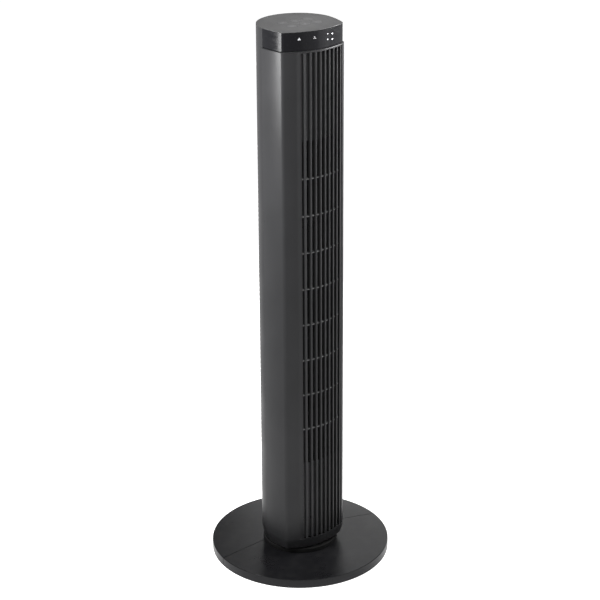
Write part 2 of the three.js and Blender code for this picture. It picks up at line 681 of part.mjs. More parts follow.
/** The whole base disc: a skin with a rim, ribs and bosses underneath. */
function baseDisc() {
  const { radius, bottom, top, skin, wall } = BASE;
  const under = top - skin;
  const chamfer = 0.3;
  const rim = 1;
  const disc = turned([
    [0, bottom], [radius - chamfer, bottom], [radius, bottom + chamfer], [radius, top - rim],
    [radius - rim * 0.3, top - rim * 0.3], [radius - rim, top], [0, top],
  ], 60);
  const ribs = Array.from({ length: 6 }, (_, i) => {
    const rib = new THREE.BoxGeometry(2 * radius, 3, under - 3);
    rib.rotateZ((i / 6) * Math.PI);
    rib.translate(0, 0, (under + 3) / 2);
    return solid(rib);
  });
  const bosses = [
    ...FEET.map(({ x, y }) => cylinder(FOOT_RADIUS + 3, bottom, under + 1, x, y, 12)),
    ...BASE_SCREWS.map(({ x, y }) => cylinder(7, bottom, under + 1, x, y, 12)),
  ];
  const seamWall = prism(behindSeam(-5), bottom, under + 1).subtract(prism(behindSeam(5), 0, 20));
  const hoop = ring(96, 92, 3, under + 1, 0, 0, 24);
  const hollow = cylinder(radius - wall, bottom - 1, under, 0, 0, 36)
    .subtract(joined([...ribs, ...bosses, hoop, seamWall]));
  const cuts = [
    cylinder(36, bottom - 1, 9 + GAP, 0, 0, 32),
    cylinder(PIVOT.tube + GAP, 0, 20, 0, 0, 32),
    ...FEET.map(({ x, y }) => cylinder(FOOT_RADIUS + GAP, 0, FOOT_SEAT, x, y, 14)),
    ...BASE_SCREWS.map(({ x, y }) => cylinder(SCREW.head + 0.5, 0, 5, x, y, 12)),
    ...BASE_SCREWS.map(({ x, y }) => cylinder(SCREW.shank + 0.4, 0, 20, x, y, 12)),
  ];
  return disc.subtract(hollow).subtract(joined(cuts));
}

function baseFoot({ x, y }) {
  return cylinder(FOOT_RADIUS, 0.6, FOOT_SEAT - GAP, x, y, 14).add(cylinder(FOOT_RADIUS - 1, 0, 1, x, y, 14));
}

function baseScrew({ x, y }) {
  const seat = 5 - GAP;
  return cylinder(SCREW.head, seat - SCREW.headHeight, seat, x, y, 12)
    .add(cylinder(SCREW.shank, seat - 1, 20, x, y, 12));
}

// ---- assembly -----------------------------------------------------------------------------

function node(name, look, body) {
  const [color, roughness, metalness] = LOOKS[look];
  const mesh = new THREE.Mesh(
    geometryOf(body),
    new THREE.MeshStandardMaterial({ color, roughness, metalness }),
  );
  mesh.name = name;
  return mesh;
}

function numbered(name, look, places, make) {
  return places.map((place, i) => node(`${name}_${i + 1}`, look, make(place)));
}

const base = new THREE.Group();
const disc = baseDisc();
base.add(
  node("base_front_half", "base", disc.subtract(prism(behindSeam(-GAP / 2), -1, 20))),
  node("base_rear_half", "base", disc.intersect(prism(behindSeam(GAP / 2), -1, 20))),
  node("pivot_plate", "inner", pivotPlate()),
  node("retaining_nut", "inner", retainingNut()),
  ...numbered("base_foot", "rubber", FEET, baseFoot),
  ...numbered("base_screw", "steel", BASE_SCREWS, baseScrew),
);
base.rotation.z = BASE.turn;

const swivel = new THREE.Group();
swivel.add(
  node("bearing_ring", "acetal", bearingRing()),
  node("retaining_clip", "steel", retainingClip()),
  node("fixed_gear", "acetal", fixedGear()),
);

const tower = new THREE.Group();
tower.add(
  node("tower_floor", "inner", towerFloor()),
  node("rear_shell", "rear", rearShell()),
  node("front_shell", "shell", frontShell()),
  node("front_grille", "grille", frontGrille()),
  node("top_plate", "cap", topPlate()),
  node("control_band", "gloss", controlBand()),
  node("display_board", "circuit", displayBoard()),
  node("button_board", "circuit", buttonBoard()),
  node("main_board", "circuit", mainBoard()),
  node("volute", "inner", volute()),
  node("tongue", "inner", tongue()),
  node("duct_bottom_plate", "inner", ductBottomPlate()),
  node("duct_top_plate", "inner", ductTopPlate()),
  node("top_bush", "bronze", topBush()),
  node("motor_body", "can", motorBody()),
  node("motor_bracket", "steel", motorBracket()),
  node("swivel_motor", "can", oscMotor()),
  node("swivel_pinion", "acetal", pinion()),
  node("cord_gland", "rubber", cordGland()),
  node("impeller", "wheel", impeller()),
  node("motor_shaft", "steel", motorShaft()),
  node("top_axle", "steel", topAxle()),
  ...numbered("motor_screw", "steel", motorScrewSpots, motorScrew),
  ...numbered("rear_screw", "steel", screwSpots, rearScrew),
  ...numbered("button", "button", buttonSpots, button),
);

const fan = new THREE.Group();
fan.add(base, swivel, tower);

export default fan;
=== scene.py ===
"""Looks of the tower fan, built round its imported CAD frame.

Metres, +Z up. The column's front faces -Y, so "forward" distances are measured towards -Y.
"""

import math

import bmesh
import bpy
from mathutils import Matrix, Quaternion, Vector


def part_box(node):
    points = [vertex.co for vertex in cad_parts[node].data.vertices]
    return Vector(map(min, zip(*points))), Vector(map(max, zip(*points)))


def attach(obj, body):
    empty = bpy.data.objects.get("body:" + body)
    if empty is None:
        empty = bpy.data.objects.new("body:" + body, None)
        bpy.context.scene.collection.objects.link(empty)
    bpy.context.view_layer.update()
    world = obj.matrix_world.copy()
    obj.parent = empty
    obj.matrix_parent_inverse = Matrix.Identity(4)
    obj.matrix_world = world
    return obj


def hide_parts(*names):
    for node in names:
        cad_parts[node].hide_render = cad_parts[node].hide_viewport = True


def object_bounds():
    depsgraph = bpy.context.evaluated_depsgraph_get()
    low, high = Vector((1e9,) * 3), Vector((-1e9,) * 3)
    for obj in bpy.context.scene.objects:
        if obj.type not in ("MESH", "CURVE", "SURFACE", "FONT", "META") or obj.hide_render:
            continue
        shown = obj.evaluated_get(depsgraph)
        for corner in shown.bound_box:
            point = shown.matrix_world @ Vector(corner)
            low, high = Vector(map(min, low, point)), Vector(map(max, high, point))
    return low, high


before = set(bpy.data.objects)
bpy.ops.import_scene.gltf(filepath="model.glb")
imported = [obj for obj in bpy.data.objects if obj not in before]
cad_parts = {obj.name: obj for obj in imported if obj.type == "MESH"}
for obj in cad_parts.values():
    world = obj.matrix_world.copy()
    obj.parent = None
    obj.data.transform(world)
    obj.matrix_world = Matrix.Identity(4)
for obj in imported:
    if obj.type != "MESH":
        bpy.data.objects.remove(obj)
cad_low, cad_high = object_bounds()

MM = 0.001
GAP = 0.3 * MM
WALL = 2.4 * MM

# ---- driving dimensions, taken from the frame ---------------------------------------------
plate_low, plate_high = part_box("top_plate")
shell_low, shell_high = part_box("front_shell")
rear_low, rear_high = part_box("rear_shell")
grille_low, grille_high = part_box("front_grille")
band_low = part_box("control_band")[0]
neck_low, neck_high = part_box("pivot_plate")
base_low, base_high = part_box("base_front_half")
wheel_low, wheel_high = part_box("impeller")
foot_low, foot_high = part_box("base_foot_1")

# The plan: a front arc between two rounded corners, bowed sides and an elliptical back.
HALF_WIDTH = plate_high.x
FRONT = -plate_low.y
BACK = plate_high.y
CORNER_X = 0.8875 * HALF_WIDTH
CORNER_FORWARD = 0.7253 * FRONT
CORNER_RADIUS = 8 * MM
PROUD = -shell_low.y - FRONT  # how far the front shell stands out past the band
TAPER = 3.6 * MM  # how far the column's foot is drawn in
TAPER_TOP = shell_low.z + 17 * MM
HEIGHT = plate_high.z
FLARE = 0.026  # share by which the sides and back widen from the top down to the floor
FLARE_FROM = 40 * MM  # forward of this the front keeps its width
LID = 0.5 * MM  # how much of the top plate shows above the band and the rear shell
UNDER_LID = HEIGHT - LID - 0.1 * MM
BASE_RADIUS = 150.5 * MM
foot_centre = (foot_low + foot_high) / 2
BASE_TURN = math.atan2(foot_centre.y, foot_centre.x) - math.radians(30)


def even(start, end, steps):
    return [start + (end - start) * i / steps for i in range(steps + 1)]


def clamped(value):
    return max(0.0, min(1.0, value))


def centre_of(low, high):
    return (low + high) / 2


# ---- meshes -------------------------------------------------------------------------------

def mesh_object(name, points, faces):
    mesh = bpy.data.meshes.new(name)
    mesh.from_pydata([tuple(p) for p in points], [], faces)
    mesh.validate()
    obj = bpy.data.objects.new(name, mesh)
    bpy.context.scene.collection.objects.link(obj)
    return obj


def remade(obj, modifier):
    """obj with its one modifier made part of the mesh."""
    depsgraph = bpy.context.evaluated_depsgraph_get()
    mesh = bpy.data.meshes.new_from_object(obj.evaluated_get(depsgraph))
    obj.modifiers.remove(modifier)
    old = obj.data
    obj.data = mesh
    bpy.data.meshes.remove(old)
    return obj


def combined(obj, other, operation):
    """obj joined with, cut by or kept only inside another solid, which is used up."""
    modifier = obj.modifiers.new("combine", "BOOLEAN")
    modifier.operation = operation
    modifier.object = other
    modifier.solver = "MANIFOLD"
    remade(obj, modifier)
    bpy.data.objects.remove(other)
    return obj


def edge_rounding(obj, width, segments, angle):
    """A modifier that rounds the edges sharper than an angle in degrees."""
    modifier = obj.modifiers.new("edges", "BEVEL")
    modifier.width = width
    modifier.segments = segments
    modifier.limit_method = "ANGLE"
    modifier.angle_limit = math.radians(angle)
    return modifier


def smooth(obj, angle):
    """Smooth shading that keeps the edges sharper than an angle in degrees."""
    obj.data.polygons.foreach_set("use_smooth", [True] * len(obj.data.polygons))
    obj.data.set_sharp_from_angle(angle=math.radians(angle))


def moved(obj, matrix):
    obj.data.transform(matrix)
    return obj


def joined(name, objects):
    """One mesh of several, kept as separate closed shells."""
    points = []
    faces = []
    for obj in objects:
        start = len(points)
        points += [v.co.copy() for v in obj.data.vertices]
        faces += [[start + i for i in polygon.vertices] for polygon in obj.data.polygons]
        bpy.data.objects.remove(obj)
    return mesh_object(name, points, faces)


def rounded(corners, closed=True, steps=4):
    """Outline through (x, y, radius) corners, each with a fillet of its radius."""
    points = []
    count = len(corners)
    for i, (x, y, radius) in enumerate(corners):
        here = Vector((x, y))
        if radius == 0 or (not closed and i in (0, count - 1)):
            points.append(here)
            continue
        before = (Vector(corners[i - 1][:2]) - here).normalized()
        after = (Vector(corners[(i + 1) % count][:2]) - here).normalized()
        half = before.angle(after) / 2
        reach = radius / math.tan(half)
        centre = here + (before + after).normalized() * (radius / math.sin(half))
        start = (here + before * reach - centre).normalized()
        end = (here + after * reach - centre).normalized()
        points += [centre + radius * start.slerp(end, k / steps) for k in range(steps + 1)]
    return points


def turned(name, profile, segments=96, centre=(0, 0)):
    """A turned solid from (radius, height) points. Ends on the axis close it; else the profile is a loop."""
    on_axis = profile[0][0] == 0
    inner = profile[1:-1] if on_axis else profile
    points = []
    for i in range(segments):
        angle = 2 * math.pi * i / segments
        points += [(centre[0] + r * math.cos(angle), centre[1] + r * math.sin(angle), z) for r, z in inner]
    count = len(inner)
    faces = []
    for i in range(segments):
        here = i * count
        there = ((i + 1) % segments) * count
        for k in range(count if not on_axis else count - 1):
            up = (k + 1) % count
            faces.append((here + k, there + k, there + up, here + up))
    if on_axis:
        low = len(points)
        points += [(centre[0], centre[1], profile[0][1]), (centre[0], centre[1], profile[-1][1])]
        for i in range(segments):
            here = i * count
            there = ((i + 1) % segments) * count
            faces.append((low, there, here))
            faces.append((low + 1, here + count - 1, there + count - 1))
    return mesh_object(name, points, faces)


def cylinder(name, radius, z0, z1, x, y, segments=40):
    return turned(name, [(0, z0), (radius, z0), (radius, z1), (0, z1)], segments, (x, y))


def hoop(name, inner, outer, z0, z1, segments, at=(0, 0)):
    return turned(name, [(inner, z0), (outer, z0), (outer, z1), (inner, z1)], segments, at)


def lying(name, profile, x, y, z, segments=48):
    """A turned solid whose axis lies along +Y from (x, y, z)."""
    obj = turned(name, profile, segments)
    return moved(obj, Matrix.Translation((x, y, z)) @ Matrix.Rotation(-math.pi / 2, 4, "X"))


def stacked(name, loops):
    """A closed solid through loops of points of equal length."""
    count = len(loops[0])
    points = [p for loop in loops for p in loop]
    faces = []
    for level in range(len(loops) - 1):
        for i in range(count):
            a = level * count + i
            b = level * count + (i + 1) % count
            faces.append((a, b, b + count, a + count))
    faces.append(tuple(reversed(range(count))))
    faces.append(tuple(range(len(points) - count, len(points))))
    return mesh_object(name, points, faces)


def prism(name, outline, z0, z1):
    return stacked(name, [[(p[0], p[1], z) for p in outline] for z in (z0, z1)])


def bar(width, height, x=0.0, y=0.0):
    """Outline of a rectangle about (x, y)."""
    return [(x + u * width / 2, y + v * height / 2) for u, v in ((-1, -1), (1, -1), (1, 1), (-1, 1))]


def thick_sheet(name, columns, rows, place, present):
    """A walled sheet over a grid. place(column, row, side) is a point of the outer (0) or inner (1) skin."""
    points = []
    index = {}
    faces = []

    def vertex(c, r, side):
        key = (c, r, side)
        if key not in index:
            index[key] = len(points)
            points.append(place(c, r, side))
        return index[key]

    def shown(c, r):
        return 0 <= c < columns - 1 and 0 <= r < rows - 1 and present(c, r)

    for c in range(columns - 1):
        for r in range(rows - 1):
            if not shown(c, r):
                continue
            ring = [(c, r), (c + 1, r), (c + 1, r + 1), (c, r + 1)]
            outer = [vertex(*corner, 0) for corner in ring]
            inner = [vertex(*corner, 1) for corner in ring]
            faces.append(outer)
            faces.append(inner[::-1])
            neighbours = [(c, r - 1), (c + 1, r), (c, r + 1), (c - 1, r)]
            for side, neighbour in enumerate(neighbours):
                if not shown(*neighbour):
                    after = (side + 1) % 4
                    faces.append((outer[side], inner[side], inner[after], outer[after]))
    return mesh_object(name, points, faces)


def outward(obj):
    """Turns every face of a closed mesh to look outwards."""
    work = bmesh.new()
    work.from_mesh(obj.data)
    bmesh.ops.recalc_face_normals(work, faces=work.faces)
    work.to_mesh(obj.data)
    work.free()


def finish_piece(obj, body, slot, replaces=(), material=None, bevel=0.0, segments=2, sharp=35):
    """Smooth shading, rounded edges, the slot's or another material, and the piece's place in the frame."""
    outward(obj)
    smooth(obj, sharp)
    if bevel:
        edge_rounding(obj, bevel, segments, sharp)
    weighted = obj.modifiers.new("normals", "WEIGHTED_NORMAL")
    weighted.keep_sharp = True
    obj.data.materials.clear()
    obj.data.materials.append(material or MATERIALS[slot])
    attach(obj, body)
    if replaces:
        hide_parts(*replaces)


# ---- materials ----------------------------------------------------------------------------

class Look:
    """A Principled material under construction, with short calls for the nodes that it needs."""

    def __init__(self, name, roughness, metallic=0.0, specular=0.5):
        self.material = bpy.data.materials.new(name)
        self.material.use_nodes = True
        tree = self.material.node_tree
        self.nodes = tree.nodes
        self.link = tree.links.new
        self.shader = self.nodes["Principled BSDF"]
        self.shader.inputs["Roughness"].default_value = roughness
        self.shader.inputs["Metallic"].default_value = metallic
        self.shader.inputs["Specular IOR Level"].default_value = specular
        self.shader.inputs["IOR"].default_value = 1.5
        self.place = self.nodes.new("ShaderNodeTexCoord").outputs["Object"]

    def made(self, kind, inputs):
        """A new node of a kind. Each input gets a value or is linked to another node's output."""
        node = self.nodes.new(f"ShaderNode{kind}")
        for key, value in inputs.items():
            if isinstance(value, bpy.types.NodeSocket):
                self.link(value, node.inputs[key])
            else:
                node.inputs[key].default_value = value
        return node

    def stretched(self, x, y, z):
        return self.made("Mapping", {"Scale": (x, y, z), "Vector": self.place}).outputs["Vector"]

    def noise(self, scale, detail=2.0, place=None):
        inputs = {"Scale": scale, "Detail": detail, "Vector": place or self.place}
        return self.made("TexNoise", inputs).outputs["Fac"]

    def spots(self, scale):
        return self.made("TexVoronoi", {"Scale": scale, "Vector": self.place}).outputs["Distance"]

    def spread(self, value, low, high, start=0.3, end=0.7):
        """value mapped from start...end to low...high."""
        inputs = {"From Min": start, "From Max": end, "To Min": low, "To Max": high, "Value": value}
        return self.made("MapRange", inputs).outputs["Result"]

    def sum(self, a, b, operation="ADD"):
        node = self.made("Math", {0: a, 1: b})
        node.operation = operation
        return node.outputs["Value"]

    def blend(self, share, first, second):
        """A colour between two, each a colour or another node's output."""
        node = self.nodes.new("ShaderNodeMix")
        node.data_type = "RGBA"
        self.link(share, node.inputs["Factor"])
        for socket, value in (("A", first), ("B", second)):
            target = [s for s in node.inputs if s.name == socket and s.type == "RGBA"][0]
            if isinstance(value, tuple):
                target.default_value = (*value, 1)
            else:
                self.link(value, target)
        return [s for s in node.outputs if s.type == "RGBA"][0]

    def edges(self, low=0.52, high=0.62):
        """1 along worn convex edges, 0 elsewhere."""
        geometry = self.nodes.new("ShaderNodeNewGeometry")
        return self.spread(geometry.outputs["Pointiness"], 0.0, 1.0, low, high)

    def upward(self):
        """1 on faces that look up, where dust settles."""
        geometry = self.nodes.new("ShaderNodeNewGeometry")
        split = self.made("SeparateXYZ", {"Vector": geometry.outputs["Normal"]})
        return self.spread(split.outputs["Z"], 0.0, 1.0, 0.5, 1.0)

    def colour(self, output):
        self.link(output, self.shader.inputs["Base Color"])

    def rough(self, output):
        self.link(output, self.shader.inputs["Roughness"])

    def bump(self, height, distance, strength=1.0):
        node = self.made("Bump", {"Distance": distance, "Strength": strength, "Height": height})
        self.link(node.outputs["Normal"], self.shader.inputs["Normal"])


def scaled(colour, factor):
    return tuple(min(1.0, c * factor) for c in colour)


def moulded(name, colour, roughness, grain=900, depth=0.02, variation=0.12, dust=0.04, specular=0.5):
    """Moulded plastic: fine spark-eroded grain, slow tone drift, uneven gloss, dust and rubbed edges."""
    look = Look(name, roughness, specular=specular)
    drift = look.spread(look.noise(9, 3), 0.0, 1.0)
    tone = look.blend(drift, scaled(colour, 1 - variation), scaled(colour, 1 + variation))
    worn = look.blend(look.spread(look.edges(), 0.0, 0.5, 0.0, 1.0), tone, scaled(colour, 1.9))
    settled = look.sum(look.spread(look.noise(55, 4), 0.0, dust, 0.45, 0.75), look.upward(), "MULTIPLY")
    look.colour(look.blend(settled, worn, (0.32, 0.31, 0.29)))
    patches = look.spread(look.noise(14, 4), roughness - 0.05, roughness + 0.05)
    specks = look.spread(look.noise(grain * 0.6, 2), -0.02, 0.02)
    look.rough(look.sum(patches, specks))
    texture = look.sum(look.noise(grain, 3), look.spots(grain * 0.8))
    look.bump(texture, depth * MM, 0.6)
    return look.material


def glossy(name, colour, roughness, specular=0.25):
    """Polished plastic: near-mirror skin with faint moulding waves, fine hairlines and a little dust."""
    look = Look(name, roughness, specular=specular)
    drift = look.spread(look.noise(12, 2), 0.0, 1.0)
    tone = look.blend(drift, scaled(colour, 0.85), scaled(colour, 1.15))
    specks = look.spread(look.noise(420, 2), 0.0, 0.06, 0.66, 0.8)
    look.colour(look.blend(specks, tone, (0.3, 0.3, 0.3)))
    hairlines = look.noise(60, 3, look.stretched(1, 1, 14))
    look.rough(look.spread(hairlines, roughness * 0.7, roughness * 1.5))
    look.bump(look.noise(28, 1), 0.004 * MM, 0.5)
    return look.material


def metal(name, colour, roughness, brushed=(1, 1, 30)):
    """Bare metal with drawn marks, dulled patches and brighter edges."""
    look = Look(name, roughness, metallic=1.0)
    marks = look.noise(160, 3, look.stretched(*brushed))
    tone = look.blend(look.spread(marks, 0.0, 1.0), scaled(colour, 0.82), scaled(colour, 1.08))
    look.colour(look.blend(look.spread(look.edges(), 0.0, 0.6, 0.0, 1.0), tone, scaled(colour, 1.3)))
    uneven = look.spread(look.noise(25, 4), roughness - 0.06, roughness + 0.1)
    look.rough(look.sum(look.spread(marks, -0.05, 0.05), uneven))
    look.bump(marks, 0.01 * MM, 0.5)
    return look.material


def rubber(name, colour):
    """Dull rubber with a fine pebbled skin and pale bloom."""
    look = Look(name, 0.85, specular=0.3)
    bloom = look.spread(look.noise(70, 5), 0.0, 0.35, 0.45, 0.8)
    look.colour(look.blend(bloom, colour, scaled(colour, 3.0)))
    look.rough(look.spread(look.noise(120, 3), 0.75, 0.95))
    look.bump(look.spots(1400), 0.05 * MM, 0.7)
    return look.material


def circuit(name):
    """Solder-masked board: copper runs under the mask, with speckle of parts and flux."""
    look = Look(name, 0.35)
    runs = look.made("TexBrick", {"Scale": 90, "Mortar Size": 0.03, "Vector": look.place})
    tone = look.blend(runs.outputs["Fac"], (0.012, 0.09, 0.03), (0.03, 0.2, 0.07))
    flux = look.spread(look.noise(180, 4), 0.0, 0.4, 0.6, 0.75)
    look.colour(look.blend(flux, tone, (0.25, 0.24, 0.2)))
    look.rough(look.spread(look.noise(90, 3), 0.25, 0.5))
    look.bump(runs.outputs["Fac"], 0.04 * MM, 0.6)
    return look.material


def printed(name, colour, glow):
    """Backlit print on the band."""
    look = Look(name, 0.4)
    patchy = look.spread(look.noise(700, 2), 0.0, 1.0)
    tone = look.blend(patchy, scaled(colour, 0.85), colour)
    look.colour(tone)
    look.link(tone, look.shader.inputs["Emission Color"])
    look.shader.inputs["Emission Strength"].default_value = glow
    look.rough(look.spread(look.noise(300, 2), 0.35, 0.5))
    look.bump(look.noise(2500, 1), 0.004 * MM, 0.4)
    return look.material


MATERIALS = {
    "base_plastic": moulded(
        "satin_base", (0.008, 0.008, 0.009), 0.32, depth=0.012, dust=0.015, specular=0.12
    ),
    "shell_plastic": moulded("satin_shell", (0.016, 0.016, 0.017), 0.33, depth=0.012, specular=0.16),
    "rear_plastic": moulded("satin_rear", (0.014, 0.014, 0.015), 0.42, specular=0.12),
    "grille_plastic": moulded(
        "satin_grille", (0.024, 0.024, 0.025), 0.32, depth=0.012, dust=0.04, specular=0.12
    ),
    "cap_plastic": moulded("satin_cap", (0.038, 0.038, 0.039), 0.42, depth=0.012, specular=0.25),
    "black_window": glossy("gloss_band", (0.004, 0.004, 0.005), 0.18, specular=0.11),
    "button_plastic": moulded("satin_button", (0.048, 0.048, 0.050), 0.38, depth=0.008, specular=0.25),
    "inner_plastic": moulded("dark_inner", (0.018, 0.018, 0.018), 0.6, grain=600, dust=0.1, specular=0.3),
    "wheel_plastic": moulded("dark_wheel", (0.020, 0.020, 0.022), 0.5, grain=600, dust=0.15, specular=0.3),
    "acetal": moulded("white_acetal", (0.62, 0.60, 0.55), 0.35, depth=0.006, variation=0.05, dust=0.0),
    "steel": metal("plated_steel", (0.56, 0.56, 0.57), 0.3),
    "motor_can": metal("rolled_can", (0.38, 0.39, 0.4), 0.42, (1, 1, 60)),
    "bronze": metal("sintered_bronze", (0.5, 0.33, 0.16), 0.45, (4, 4, 4)),
    "rubber": rubber("black_rubber", (0.012, 0.012, 0.012)),
    "circuit": circuit("green_board"),
}
SIGN_BRIGHT = printed("sign_bright", (0.60, 0.61, 0.63), 0.16)
SIGN_DIM = printed("sign_dim", (0.42, 0.42, 0.43), 0.12)
# Rungs: a grey far lighter than the grille's own plastic, a painted highlight standing in for the glint on
# their rounded tops.
RUNG_PAINTED_HIGHLIGHT = moulded("glossy_rung_painted_highlight", (0.130, 0.130, 0.133), 0.22, depth=0.008, dust=0.02, specular=0.9)
# The swivel foot's colour, darker than the inner plastic: painted shade for the shadow under the column.
NECK_PAINTED_SHADE = moulded("neck_painted_shade", (0.008, 0.008, 0.008), 0.6, grain=600, dust=0.03, specular=0.1)
BUTTON_PRINT = printed("button_print", (0.17, 0.17, 0.175), 0.0)


# ---- the column's plan --------------------------------------------------------------------

def crossing(a, radius_a, b, radius_b):
    """Where two circles cross, on the side with the larger x."""
    span = (b - a).length
    along = (radius_a ** 2 - radius_b ** 2 + span ** 2) / (2 * span)
    off = math.sqrt(radius_a ** 2 - along ** 2)
    u = (b - a) / span
    both = [a + u * along + side * off * Vector((-u.y, u.x)) for side in (-1, 1)]
    return max(both, key=lambda p: p.x)


SIDE_RADIUS = (CORNER_FORWARD ** 2 / (HALF_WIDTH - CORNER_X) + (HALF_WIDTH - CORNER_X)) / 2
SIDE_CENTRE = Vector((HALF_WIDTH - SIDE_RADIUS, 0))
FRONT_RISE = FRONT - CORNER_FORWARD
FRONT_RADIUS = (FRONT_RISE ** 2 + CORNER_X ** 2) / (2 * FRONT_RISE)
FRONT_CENTRE = Vector((0, FRONT_RADIUS - FRONT))
mirrored_front = Vector((0, -FRONT_CENTRE.y))
corner_up = crossing(mirrored_front, FRONT_RADIUS - CORNER_RADIUS, SIDE_CENTRE, SIDE_RADIUS - CORNER_RADIUS)
CORNER_CENTRE = Vector((corner_up.x, -corner_up.y))
FRONT_END = math.atan2(CORNER_CENTRE.x, FRONT_CENTRE.y - CORNER_CENTRE.y)  # from straight ahead
SIDE_END = math.atan2(-CORNER_CENTRE.y, CORNER_CENTRE.x - SIDE_CENTRE.x)  # from straight sideways


def station_point(station, grow):
    """Plan point of a station moved outwards by grow. A station is (centre, radius x, radius y, angle)."""
    centre, radius_x, radius_y, angle = station
    return Vector((
        centre.x + (radius_x + grow) * math.cos(angle),
        centre.y + (radius_y + grow) * math.sin(angle),
    ))


def flare_at(z):
    return FLARE * (1 - z / HEIGHT)


def skin_point(station, grow, z):
    """Point at a height over a station, moved outwards by grow, with the flare that fades along the sides."""
    point = station_point(station, grow)
    share = clamped(1 + station_point(station, 0).y / FLARE_FROM)
    deeper = flare_at(z) if point.y > 0 else 0
    return (point.x * (1 + flare_at(z) * share), point.y * (1 + deeper), z)


def front_stations(edges=(), proud=0.0):
    """Stations from the left side round the front to the right, with one at each x in edges."""
    ahead = -math.pi / 2
    right_side = [(SIDE_CENTRE, SIDE_RADIUS, SIDE_RADIUS, a) for a in even(-SIDE_END, -0.0008, 14)[1:]]
    right_corner = [
        (CORNER_CENTRE, CORNER_RADIUS, CORNER_RADIUS, a)
        for a in even(ahead + FRONT_END, -SIDE_END, 10)
    ]
    exact = [ahead + math.asin(x / (FRONT_RADIUS + proud)) for x in edges]
    nearest = math.radians(0.6)
    face = [
        a for a in even(ahead - FRONT_END, ahead + FRONT_END, 28)[1:-1]
        if all(abs(a - e) > nearest for e in exact)
    ]
    front = [(FRONT_CENTRE, FRONT_RADIUS, FRONT_RADIUS, a) for a in sorted(face + exact)]
    right = right_corner + right_side
    left = [
        (Vector((-centre.x, centre.y)), rx, ry, -math.pi - angle)
        for centre, rx, ry, angle in reversed(right)
    ]
    return left + front + right


def rear_stations(angles):
    return [(Vector((0, 0)), HALF_WIDTH, BACK, a) for a in angles]


def whole_outline(grow, z):
    stations = front_stations() + rear_stations(even(0, math.pi, 56))
    return [skin_point(s, grow, z) for s in stations]


def drawn_in(z):
    """How far the column's foot is drawn in at a height."""
    share = clamped((TAPER_TOP - z) / (TAPER_TOP - shell_low.z))
    return -TAPER * share ** 1.15


def front_forward(x, grow):
    """Forward distance of the front arc, moved outwards by grow, at a place across the front."""
    return -FRONT_CENTRE.y + math.sqrt((FRONT_RADIUS + grow) ** 2 - x ** 2)


# ---- front shell --------------------------------------------------------------------------

OPENING = {
    "left": grille_low.x - GAP,
    "right": grille_high.x + GAP,
    "bottom": grille_low.z - GAP,
    "top": grille_high.z + GAP,
}


COVE_WIDTH = 7 * MM
COVE_DEPTH = 2 * MM


def cove(x):
    """How far the front shell dips towards the left edge of the opening."""
    share = clamped((x - OPENING["left"] + COVE_WIDTH) / COVE_WIDTH)
    return COVE_DEPTH * share if x < OPENING["left"] + GAP else 0


def front_shell():
    cove_start = OPENING["left"] - COVE_WIDTH
    stations = front_stations((cove_start, OPENING["left"], OPENING["right"]), PROUD)
    foot = even(shell_low.z, TAPER_TOP - 1 * MM, 7)
    middle = even(OPENING["bottom"], OPENING["top"], 12)
    lip = 1.5 * MM
    lip_angles = even(0, math.pi / 2, 6)
    lip_start = len(foot) + len(middle)
    heights = foot + middle + [shell_high.z - lip + lip * math.sin(a) for a in lip_angles]
    first = len(foot)
    across = [station_point(station, PROUD).x for station in stations]
    left = min(range(len(stations)), key=lambda i: abs(across[i] - OPENING["left"]))
    right = min(range(len(stations)), key=lambda i: abs(across[i] - OPENING["right"]))

    def place(c, r, side):
        grow = PROUD + drawn_in(heights[r])
        if first <= r < lip_start:
            grow -= cove(station_point(stations[c], PROUD).x)
        if side:
            grow -= WALL
        elif r >= lip_start:
            grow -= lip * (1 - math.cos(lip_angles[r - lip_start]))
        return skin_point(stations[c], grow, heights[r])

    def present(c, r):
        return not (left <= c < right and first <= r < first + len(middle) - 1)

    obj = thick_sheet("front_cover", len(stations), len(heights), place, present)
    finish_piece(obj, "tower", "shell_plastic", ["front_shell"], bevel=0.7 * MM, segments=3)


# ---- rear shell ---------------------------------------------------------------------------

SHELL_SCREWS = [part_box(f"rear_screw_{i + 1}") for i in range(4)]
gland_low, gland_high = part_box("cord_gland")


